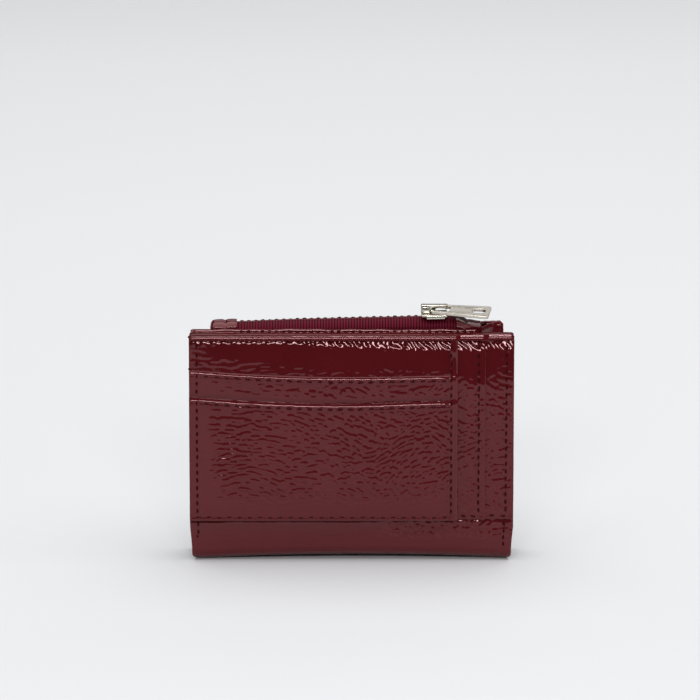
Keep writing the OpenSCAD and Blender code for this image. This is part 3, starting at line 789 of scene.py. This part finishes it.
zip_tape_cloth = ribbed_tape()
TAPE_LEFT, TAPE_RIGHT = WALL_LEFT + 2, 49.8
for name, wall, side in (("zip_tape_near", -4.65, -1), ("zip_tape_far", FAR_IN - 0.05, 1)):

    def tape_place(x, v, wall=wall, side=side):
        meet = -0.5 + side * 0.12
        width = abs(wall - meet)
        angle = np.clip(v - 1, 0, 1) * math.pi / 2
        down = np.clip(1 - v, 0, 1) * 6
        drop = 2.6 if side < 0 else 0.9
        y = np.where(v < 1, wall, wall + (meet - wall) * (1 - np.cos(angle)) ** 0.8)
        z = zip_height(x) - drop + drop * np.sin(angle) - down
        rib = 0.06 * np.cos(x * 2 * math.pi / RIB) * smooth((v - 0.9) / 0.2) * (1 - smooth((v - 1.72) / 0.1))
        return x, y + side * rib * 0.6, z + rib

    across = steps(TAPE_LEFT, TAPE_RIGHT, 0.18)
    rows = np.concatenate([steps(0, 1, 0.25)[:-1], steps(1, 2, 0.07)])
    tape = sheet(name, across if side < 0 else across[::-1], rows, tape_place, 0.3, rim=0)
    tape.data.materials.append(zip_tape_cloth)
    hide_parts(name)
    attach(tape, "back_leaf")

# ---- Zip coils ----
# Nylon monofilament wound into two coils whose turns mesh under the tape, dyed to match it.


def moulded_nylon():
    made, tree, place = new_material("dyed_nylon_monofilament_wine")
    dye = noise(tree, place, 400, 2)
    shade = two_tone(tree, dye, "#3d0811", "#5c1120")
    finish_material(tree, {"Base Color": shade, "Roughness": 0.28, "IOR": 1.53})
    return made


coil_nylon = moulded_nylon()
SLIDER_X = 31.8
COIL_LEFT, COIL_RIGHT = WALL_LEFT + 12, SLIDER_X + 5.4
COIL_PITCH = 2.17


def on_zip(points):
    """Points in the zip's own frame, in millimetres, moved to the row frame."""
    points = np.asarray(points, float)
    c, s = math.cos(ZIP_SLOPE), math.sin(ZIP_SLOPE)
    x = points[:, 0] * c - points[:, 2] * s
    z = points[:, 0] * s + points[:, 2] * c
    return np.stack([x, points[:, 1] - 0.5, z + ZIP_Z], 1)


def new_object(name, points, edges, faces):
    """An object built from points in millimetres."""
    mesh = bpy.data.meshes.new(name)
    mesh.from_pydata((np.asarray(points, float) * MM).tolist(), edges, faces)
    obj = bpy.data.objects.new(name, mesh)
    bpy.context.scene.collection.objects.link(obj)
    return obj


def face_out(obj):
    """Turns every face outwards."""
    only(obj)
    bpy.ops.object.mode_set(mode="EDIT")
    bpy.ops.mesh.select_all(action="SELECT")
    bpy.ops.mesh.normals_make_consistent(inside=False)
    bpy.ops.object.mode_set(mode="OBJECT")


def tube_mesh(name, path, radius, sides=6):
    """A round filament along a path of points in millimetres, with closed ends."""
    path = np.asarray(path, float)
    ahead = np.gradient(path, axis=0)
    ahead /= np.linalg.norm(ahead, axis=1)[:, None]
    flat = np.cross(ahead, np.array([0.31, 0.12, 0.94]))
    flat /= np.linalg.norm(flat, axis=1)[:, None]
    up = np.cross(flat, ahead)
    turns = (np.arange(sides) * 2 * math.pi / sides)[None, :, None]
    rings = path[:, None] + radius * (np.cos(turns) * flat[:, None] + np.sin(turns) * up[:, None])
    last = (len(path) - 1) * sides
    faces = []
    for i in range(0, last, sides):
        for j in range(sides):
            beside = (j + 1) % sides
            faces.append((i + j, i + beside, i + sides + beside, i + sides + j))
    faces += [tuple(reversed(range(sides))), tuple(range(last, last + sides))]
    obj = new_object(name, rings.reshape(-1, 3), [], faces)
    face_out(obj)
    bpy.ops.object.shade_smooth_by_angle(angle=math.radians(60))
    return obj


for name, side, phase in (("coil_near", -1, 0.6), ("coil_far", 1, 0.6 + COIL_PITCH / 2)):
    turns = int((COIL_RIGHT - COIL_LEFT - COIL_PITCH) / COIL_PITCH)
    t = np.arange(0, turns, 1 / 14)
    x = COIL_LEFT + phase + t * COIL_PITCH
    parted = 1.15 * smooth((x - SLIDER_X + 2.2) / 5.6)
    winding = t * 2 * math.pi
    y = side * (0.85 + parted - 1.15 * np.cos(winding))
    z = -1.45 + 0.6 * np.sin(winding)
    coil = tube_mesh(name, on_zip(np.stack([x, y, z], 1)), 0.3)
    coil.data.materials.append(coil_nylon)
    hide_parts(name)
    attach(coil, "back_leaf")

# ---- Leather tabs on the zip's ends ----
# A folded leather tab is wrapped over each end of the zip, so that the tape's ends don't fray. Each has a
# seam across its middle and rounded outer corners.


def zip_tab(name, x0, x1, seam, crown_height, round_left=0.1, round_right=0.1):
    """A tab from x0 to x1, whose two ends are rounded over by so much."""
    def place(u, v):
        x = x0 + u * (x1 - x0)
        left = np.clip((x0 + round_left - x) / round_left, 0, 1)
        right = np.clip((x - x1 + round_right) / round_right, 0, 1)
        ends = round_left * (1 - np.sqrt(1 - left**2 * 0.98))
        ends = ends + round_right * (1 - np.sqrt(1 - right**2 * 0.98))
        # Up the near side, over the top and down the far side
        leg = 0.26
        rise = np.clip(v / leg, 0, 1)
        over = np.clip((v - leg) / (1 - 2 * leg), 0, 1)
        fall = np.clip((v - 1 + leg) / leg, 0, 1)
        crown = np.sin(over * math.pi) ** 0.8
        y = -4.9 + over * 8.9 - 0.35 * rise * (1 - over)
        groove = 0.3 * bell(x - seam, 0.5)
        swollen = 0.15 * bell(np.abs(x - seam) - 2.2, 1.6)
        z = zip_height(x) - 2.9 + 2.7 * rise**0.8 + crown_height * crown + 0.1 * over - 2.0 * fall
        return x, y + 0.2 * ends, z - np.minimum(ends, 2.2) * rise - groove + swollen

    obj = sheet(name, steps(0, 1, 0.03), steps(0, 1, 0.035), place, 0.55, rim=0.16)
    finish_leather(obj, "back_leaf", [name], lambda x, z: 0.45)


zip_tab("zip_tab_left", -54.3, -44.1, -48.6, 1.75, round_left=1.8)
zip_tab("zip_tab_right", 40.2, 49.9, 44.6, 0.5, round_right=0.5)

# ---- Nickel-plated hardware ----
# Die-cast zinc, tumbled and nickel plated: bright, slightly warm, with fine rubbing marks from use.


def plated_nickel():
    made, tree, place = new_material("nickel_plated_zinc_die_cast")
    long_marks = add(tree, "Mapping", {"Vector": place, "Scale": (600, 6000, 6000)}).outputs[0]
    rub = noise(tree, long_marks, 1, 2)
    cloud = noise(tree, place, 350, 2)
    mixed = add(tree, "Math", {0: rub, 1: 0.4, 2: cloud}, operation="MULTIPLY_ADD").outputs[0]
    rubbed = {"Value": mixed, "From Min": 0.4, "From Max": 1.0, "To Min": 0.14, "To Max": 0.3}
    rough = add(tree, "MapRange", rubbed).outputs[0]
    shade = two_tone(tree, cloud, "#bbb4a8", "#d4cdc1")
    bump = add(tree, "Bump", {"Strength": 0.12, "Distance": 0.00004, "Height": rub}).outputs[0]
    finish_material(tree, {"Base Color": shade, "Metallic": 1.0, "Roughness": rough, "Normal": bump})
    return made


nickel = plated_nickel()


def block(size, centre, rounding, segments, taper=None, wedge=None):
    """A cast block: taper narrows its left end across, and wedge lowers its right end's top."""
    bpy.ops.mesh.primitive_cube_add(size=1)
    obj = bpy.context.object
    co = corners_of(obj) * MM * np.array(size)
    if taper:
        co[co[:, 0] < 0, 1] *= taper
    if wedge:
        co[(co[:, 0] > 0) & (co[:, 2] > 0), 2] -= wedge
    set_corners(obj, co + np.array(centre))
    round_edges(obj, rounding, segments, 30)
    return obj


def weld(name, parts, body, place=on_zip):
    """Joins cast parts into one piece and moves it from the zip's frame to its place."""
    obj = parts[0]
    only(obj)
    for part in parts[1:]:
        part.select_set(True)
    if len(parts) > 1:
        bpy.ops.object.join()
    obj.name = name
    obj.data.name = name
    set_corners(obj, place(corners_of(obj)))
    only(obj)
    bpy.ops.object.shade_smooth_by_angle(angle=math.radians(40))
    obj.data.materials.clear()
    obj.data.materials.append(nickel)
    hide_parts(name)
    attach(obj, body)


# ---- Zip slider ----
# A size 5 slider: two plates joined by a wedge, with lips along the upper plate's sides that hold the tape
# down. The bridge over the top is a separate clip, closed over the puller's eye.
sx = SLIDER_X
upper = block((10, 8.5, 1.0), (sx, 0, 1.4), 0.35, 3, taper=0.8)
lips = [block((7.2, 0.9, 1.5), (sx + 0.6, side * 3.8, 0.95), 0.3, 3) for side in (-1, 1)]
lower = block((9, 6.4, 1.0), (sx, 0, -3.0), 0.3, 2, taper=0.75)
post = block((1.6, 0.6, 3.6), (sx + 2.9, 0, -0.8), 0.15, 2)
weld("slider_body", [upper, *lips, lower, post], "slider")

leg = block((3.7, 2.5, 3.4), (sx - 3.2, 0, 3.6), 0.45, 3)
arm = block((10.2, 2.5, 1.0), (sx + 0.1, 0, 4.85), 0.32, 3, wedge=0.25)
nose = block((1.1, 2.3, 1.6), (sx + 4.7, 0, 4.2), 0.3, 3)
cheeks = [block((3.0, 0.35, 2.0), (sx - 3.1, side * 1.35, 3.4), 0.15, 2) for side in (-1, 1)]
weld("slider_cap", [leg, arm, nose, *cheeks], "slider")

# ---- Puller ----
# A flat bar with an eye at one end, where the bridge passes through, and a round-ended window near the other.
# Its edges are bevelled, and it widens a little towards the grip.


def puller_place(points):
    """The puller hangs in the bridge a little askew: dropped, rolled and turned by a few degrees."""
    drop, roll, turn = math.radians(2.8), math.radians(10), math.radians(-10)
    y = points[:, 1] * math.cos(roll) - points[:, 2] * math.sin(roll)
    up = points[:, 1] * math.sin(roll) + points[:, 2] * math.cos(roll)
    x = points[:, 0] * math.cos(drop) + up * math.sin(drop)
    z = -points[:, 0] * math.sin(drop) + up * math.cos(drop)
    right = x * math.cos(turn) - y * math.sin(turn) + sx - 0.2
    back = x * math.sin(turn) + y * math.cos(turn)
    return on_zip(np.stack([right, back, z + 3.3], 1))


def rounded_box(x0, x1, half0, half1, r, each):
    """A box outline, half0 to each side at x0 and half1 at x1, with this many points round each corner."""
    corners = ((x1 - r, half1 - r), (x0 + r, half0 - r), (x0 + r, r - half0), (x1 - r, r - half1))
    points = []
    for quarter, (x, y) in enumerate(corners):
        for k in range(each):
            angle = math.radians(90 * quarter + 90 * k / (each - 1))
            points.append((x + r * math.cos(angle), y + r * math.sin(angle)))
    return points


def framed_plate(x0, x1, half0, half1, r, holes, t):
    """A flat plate with a rounded outline and rounded holes through it."""
    def slab(outline, low, high):
        obj = new_object("slab", [(x, y, low) for x, y in outline], [], [tuple(range(len(outline)))])
        only(obj)
        bpy.ops.object.mode_set(mode="EDIT")
        bpy.ops.mesh.select_all(action="SELECT")
        bpy.ops.mesh.extrude_region_move(TRANSFORM_OT_translate={"value": (0, 0, (high - low) * MM)})
        bpy.ops.object.mode_set(mode="OBJECT")
        face_out(obj)
        return obj

    plate = slab(rounded_box(x0, x1, half0, half1, r, 6), -t / 2, t / 2)
    for hole in holes:
        cutter = slab(rounded_box(*hole, 5), -t, t)
        apply_modifier(plate, "BOOLEAN", object=cutter, operation="DIFFERENCE", solver="EXACT")
        bpy.data.objects.remove(cutter)
    round_edges(plate, 0.2, 3, 50)
    return plate


eye = (0.85, 6.4, 2.3, 2.3, 0.7)
window = (15.0, 20.2, 1.8, 1.8, 1.6)
puller = framed_plate(-0.85, 22.0, 3.5, 4.7, 1.2, (eye, window), 1.2)
weld("puller", [puller], "puller", place=puller_place)

# ---- Zip stops ----
# Small clamps of the same metal are pinched over the coils' ends.
for name, x, y, z in (("zip_top_stops", 38.4, 1.45, -1.75), ("zip_bottom_stop", -46.4, 0.9, -1.2)):
    weld(name, [block((2.0, 1.7, 1.4), (x, side * y, z), 0.35, 3) for side in (-1, 1)], "back_leaf")

# ---- Press stud ----
# A four-part press stud closes the wallet: the post and stud are set in the coin pocket's far wall, and
# the socket and its domed cap in the front leaf.
SNAP_Z = 72.0


def turned(name, body, profile):
    """A round part, spun about the Y axis through the press stud's middle from (radius, y) points."""
    lines = [(i, i + 1) for i in range(len(profile) - 1)]
    obj = new_object(name, [(r, y, 0) for r, y in profile], lines, [])
    only(obj)
    bpy.ops.object.mode_set(mode="EDIT")
    bpy.ops.mesh.select_all(action="SELECT")
    bpy.ops.mesh.spin(steps=48, angle=2 * math.pi, center=(0, 0, 0), axis=(0, 1, 0))
    bpy.ops.mesh.select_all(action="SELECT")
    bpy.ops.mesh.remove_doubles(threshold=0.000001)
    bpy.ops.object.mode_set(mode="OBJECT")
    face_out(obj)
    round_edges(obj, 0.12, 2, 35)
    weld(name, [obj], body, place=lambda co: co + np.array([0, 0, SNAP_Z]))


turned("snap_post", "back_leaf", [
    (0, 3.2), (3.9, 3.2), (4.4, 3.45), (4.5, 3.9), (1.5, 3.9), (1.5, 4.95), (0, 4.95),
])
turned("snap_stud", "back_leaf", [
    (0, 5.0), (4.3, 4.95), (4.6, 5.1), (4.4, 5.35), (3.2, 5.45), (1.8, 5.5), (1.7, 6.2), (2.1, 6.7),
    (2.0, 7.1), (1.4, 7.3), (0, 7.3),
])
turned("snap_socket", "front_leaf", [
    (2.35, 5.45), (4.4, 5.4), (4.8, 5.7), (4.8, 8.8), (0, 8.8), (0, 7.7), (2.35, 7.6),
])
turned("snap_cap", "front_leaf", [
    (0, 8.9), (2, 8.9), (2, 9.5), (5.9, 9.6), (6.1, 9.95), (5.8, 10.4), (4.6, 10.95), (2.6, 11.25), (0, 11.3),
])

# ---- Stitches ----
# Waxed polyester thread, dyed to match and pressed flat: 0.8 mm wide and 0.4 mm thick. Each stitch rises
# from one hole and sinks into the next, so it is thickest in its middle.


def waxed_thread():
    made, tree, place = new_material("waxed_polyester_thread_wine")
    ply = noise(tree, place, 5200, 1)
    shade = two_tone(tree, ply, "#260408", "#3a090e")
    bump = add(tree, "Bump", {"Strength": 0.5, "Distance": 0.00008, "Height": ply}).outputs[0]
    finish_material(tree, {
        "Base Color": shade, "Roughness": 0.25, "IOR": 1.5, "Specular IOR Level": 0.1,
        "Specular Tint": linear("#ffb0b2"), "Normal": bump,
    })
    return made


thread_wine = waxed_thread()
bpy.ops.mesh.primitive_uv_sphere_add(segments=8, ring_count=6, radius=1)
one_stitch = bpy.context.object
stitch_co = corners_of(one_stitch) * MM
stitch_faces = [tuple(p.vertices) for p in one_stitch.data.polygons]
bpy.data.objects.remove(one_stitch)


def stitch_rows(name, rows, body, side=-1):
    """Rows of stitches, each a start (x, z), an end (x, z), a pitch and the leather's face y = face(x, z)."""
    verts, faces = [], []
    for number, ((xa, za), (xb, zb), pitch, face) in enumerate(rows):
        length = math.hypot(xb - xa, zb - za)
        count = max(1, int(round(length / pitch)))
        along = np.array([(xb - xa) / length, 0, (zb - za) / length])
        across = np.array([-along[2], 0, along[0]])
        for i in range(count):
            t = (i + 0.5) / count
            wander = 0.08 * math.sin(i * 2.4 + number)
            x, z = xa + (xb - xa) * t, za + (zb - za) * t
            x, z = x + across[0] * wander, z + across[2] * wander
            y = float(face(np.array([x]), np.array([z]))[0])
            slant = 0.10 * math.sin(i * 1.7 + number * 3)
            lie = along * math.cos(slant) + across * math.sin(slant)
            tilt = 0.36 if abs(along[0]) > 0.5 else 0.17
            out = np.array([0, side * math.cos(tilt), math.sin(tilt)])
            side_way = np.cross(lie, out)
            side_way /= np.linalg.norm(side_way)
            here = np.array([x, y + side * 0.17, z])
            co = (stitch_co[:, 2:3] * lie * min(0.29 * pitch, 0.95) + stitch_co[:, 0:1] * side_way * 0.42
                  + stitch_co[:, 1:2] * out * 0.2) + here
            start = len(verts)
            verts.extend(co)
            faces.extend(tuple(start + k for k in f) for f in stitch_faces)
    obj = new_object(name, verts, [], faces)
    face_out(obj)
    bpy.ops.object.shade_smooth_by_angle(angle=math.radians(70))
    obj.data.materials.append(thread_wine)
    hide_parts(name)
    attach(obj, body)


def on_face(base, relief):
    """The outer face of a back-leaf layer at each place, well below its upper edge."""
    return lambda x, z: base - swell(x, z) - relief(x, z, 40 + 0 * z)


def level(y):
    """A face that doesn't swell."""
    return lambda x, z: y + 0 * x


def strip_face(x, z):
    return strip_place(x, z)[1]


lower_face = on_face(LOWER_Y, lambda x, z, below_top: dip(0 * x))
upper_face = on_face(UPPER_Y, lambda x, z, below_top: dip(0 * x))
panel_face = on_face(PANEL_Y, panel_relief)
side_face = on_face(SIDE_Y, side_relief)
backing_face = on_face(BACKING_Y, backing_relief)
cover_face = on_face(BACK_Y, lambda x, z, below_top: 0.30 * bell(z - 11, 5.0))

stitch_rows("back_top_stitches", [
    ((TOP_ROW[0], TOP_SEAM), (TOP_ROW[1], TOP_SEAM + 0.1), TOP_ROW[2], panel_face),
    ((41.6, TOP_SEAM), (48.6, TOP_SEAM), 2.4, side_face),
    ((52.2, TOP_SEAM), (58.8, TOP_SEAM), 2.3, backing_face),
], "back_leaf")
stitch_rows("back_side_stitches", [
    ((LEFT_SEAM, BOTTOM_SEAM + 1), (LEFT_SEAM, 65.6), 3.1, lower_face),
    ((LEFT_SEAM, 67), (LEFT_SEAM, 76.2), 3.0, upper_face),
    ((LEFT_SEAM, 77.4), (LEFT_SEAM, TOP_SEAM - 0.6), 3.0, panel_face),
    ((LEFT_SEAM + 0.3, 10.2), (LEFT_SEAM + 0.1, PANEL_LOW - 0.6), 3.0, cover_face),
    ((59.4, BOTTOM_SEAM + 1), (59.6, TOP_SEAM - 1.5), 3.1, backing_face),
    ((58.6, 5.4), (59.0, PANEL_LOW - 0.6), 3.0, cover_face),
    # Where the thread starts and ends it is turned round the edge and melted
    ((-63.2, 89.7), (-61.6, 89.9), 1.6, level(-9.0)),
    ((-63.1, 77.1), (-61.5, 77.3), 1.6, level(-9.6)),
    ((-59.5, 9.0), (-59.5, 10.6), 1.6, cover_face),
], "back_leaf")
stitch_rows("bottom_seam_stitches", [
    ((BOTTOM_ROW[0], BOTTOM_SEAM), (BOTTOM_ROW[1], BOTTOM_SEAM), BOTTOM_ROW[2], lower_face),
    ((41.4, BOTTOM_SEAM), (48.8, BOTTOM_SEAM), 3.7, side_face),
    ((52.0, BOTTOM_SEAM), (61.0, BOTTOM_SEAM), 3.6, backing_face),
], "back_leaf")


def along_edge(edge, below, ends, pitch, face):
    """Short runs of stitches that follow a curved edge, this far below it."""
    return [((a, at(edge, a) - below), (b, at(edge, b) - below), pitch, face)
            for a, b in zip(ends[:-1], ends[1:])]


mouth_ends = np.linspace(MOUTH_ROW[0], MOUTH_ROW[1], 9)

stitch_rows("slot_edge_stitches", [
    *along_edge(upper_edge, 2.0, mouth_ends, MOUTH_ROW[2], lambda x, z: upper_face(x, z) - 0.22),
    *along_edge(lower_edge, 2.0, mouth_ends, MOUTH_ROW[2], lambda x, z: lower_face(x, z) - 0.22),
    ((38.35, BOTTOM_SEAM + 1), (38.35, TOP_SEAM - 1.0), 3.1, strip_face),
    ((SIDE_SEAM, BOTTOM_SEAM + 1), (SIDE_SEAM, TOP_SEAM - 1.5), 3.1, side_face),
], "back_leaf")
stitch_rows("zip_seam_stitches", [
    ((-43.6, 91.1), (47.4, 91.1), 2.7, level(-5.5)),
    *along_edge(far_top, 0.12, (-43.6, -19.5, 36.8, 47.5), FAR_PITCH, level(FAR_IN + 0.35)),
], "back_leaf")


def front_face(x, z):
    return FRONT_Y + front_swell(x, z) + 0.35 * bell(z - 11, 5.0)


stitch_rows("front_stitches", [
    ((-58.8, FRONT_TOP - 1.7), (58.8, FRONT_TOP - 3.4), 3.1, front_face),
    ((-59.5, 7), (-59.5, FRONT_TOP - 4), 3.1, front_face),
    ((59.5, 7), (59.5, FRONT_TOP - 4), 3.1, front_face),
], "front_leaf", side=1)

# ---- Floor and light ----
# A pale matt table top stands in a dim room, with a large softbox above it and smaller ones in front, to the
# right and behind. The cool tube in front is seen in reflections only, where it whitens the glints.
bpy.ops.mesh.primitive_plane_add(size=1, location=(0, 0, -0.0002))
floor = bpy.context.object
floor.data.vertices.foreach_set("co", [-2.4, -0.40, 0, 2.4, -0.40, 0, -2.4, 2.4, 0, 2.4, 2.4, 0])
floor.data.update()
floor.name = "floor"
made, tree, place = new_material("matt_white_table_top")
# Painted light: the table top is painted a little lighter towards the back, standing in for brighter light
# there
depth = add(tree, "SeparateXYZ", {0: place}).outputs["Y"]
back = add(tree, "MapRange", {"Value": depth, "From Min": -0.1, "From Max": 0.9}).outputs[0]
shade = two_tone(tree, back, "#dcdddf", "#f5f6f7")
finish_material(tree, {"Base Color": shade, "Roughness": 0.75})
floor.data.materials.append(made)


def softbox(name, place, at, size, power, colour="#ffffff", fills=True):
    """A rectangular lamp; one that doesn't fill is only seen in reflections."""
    lamp = bpy.data.lights.new(name, "AREA")
    lamp.shape = "RECTANGLE"
    lamp.size, lamp.size_y = size
    lamp.energy = power
    lamp.color = linear(colour)[:3]
    obj = bpy.data.objects.new(name, lamp)
    bpy.context.scene.collection.objects.link(obj)
    obj.location = place
    obj.rotation_euler = (Vector(at) - Vector(place)).to_track_quat("-Z", "Y").to_euler()
    obj.visible_diffuse = fills


softbox("softbox_above", (0.0, -0.06, 1.5), (0, -0.06, 0), (2.4, 2.3), 34)
softbox("softbox_front", (-0.05, -1.3, 0.74), (0, 0, 0.06), (0.7, 0.26), 8)
softbox("tube_front", (-0.05, -1.29, 0.735), (0, 0, 0.06), (0.5, 0.13), 2.8, "#cdffff", fills=False)
softbox("softbox_right", (1.4, -0.2, 0.9), (0, 0, 0.06), (0.6, 0.9), 2.5)
softbox("softbox_behind", (0.2, 1.5, 1.1), (0, 0, 0.06), (1.3, 0.7), 2.3)

room = bpy.data.worlds.new("dim_room")
bpy.context.scene.world = room
room.use_nodes = True
room.node_tree.nodes.clear()
rays = add(room.node_tree, "LightPath").outputs["Is Camera Ray"]
wall = add(room.node_tree, "Background", {"Color": linear("#eef0f2"), "Strength": 0.95})
dark = add(room.node_tree, "Background", {"Color": linear("#b9bcc0"), "Strength": 0.17})
seen = add(room.node_tree, "MixShader", {0: rays, 1: dark.outputs[0], 2: wall.outputs[0]})
add(room.node_tree, "OutputWorld", {0: seen.outputs[0]})
bpy.context.scene.view_settings.view_transform = "Standard"
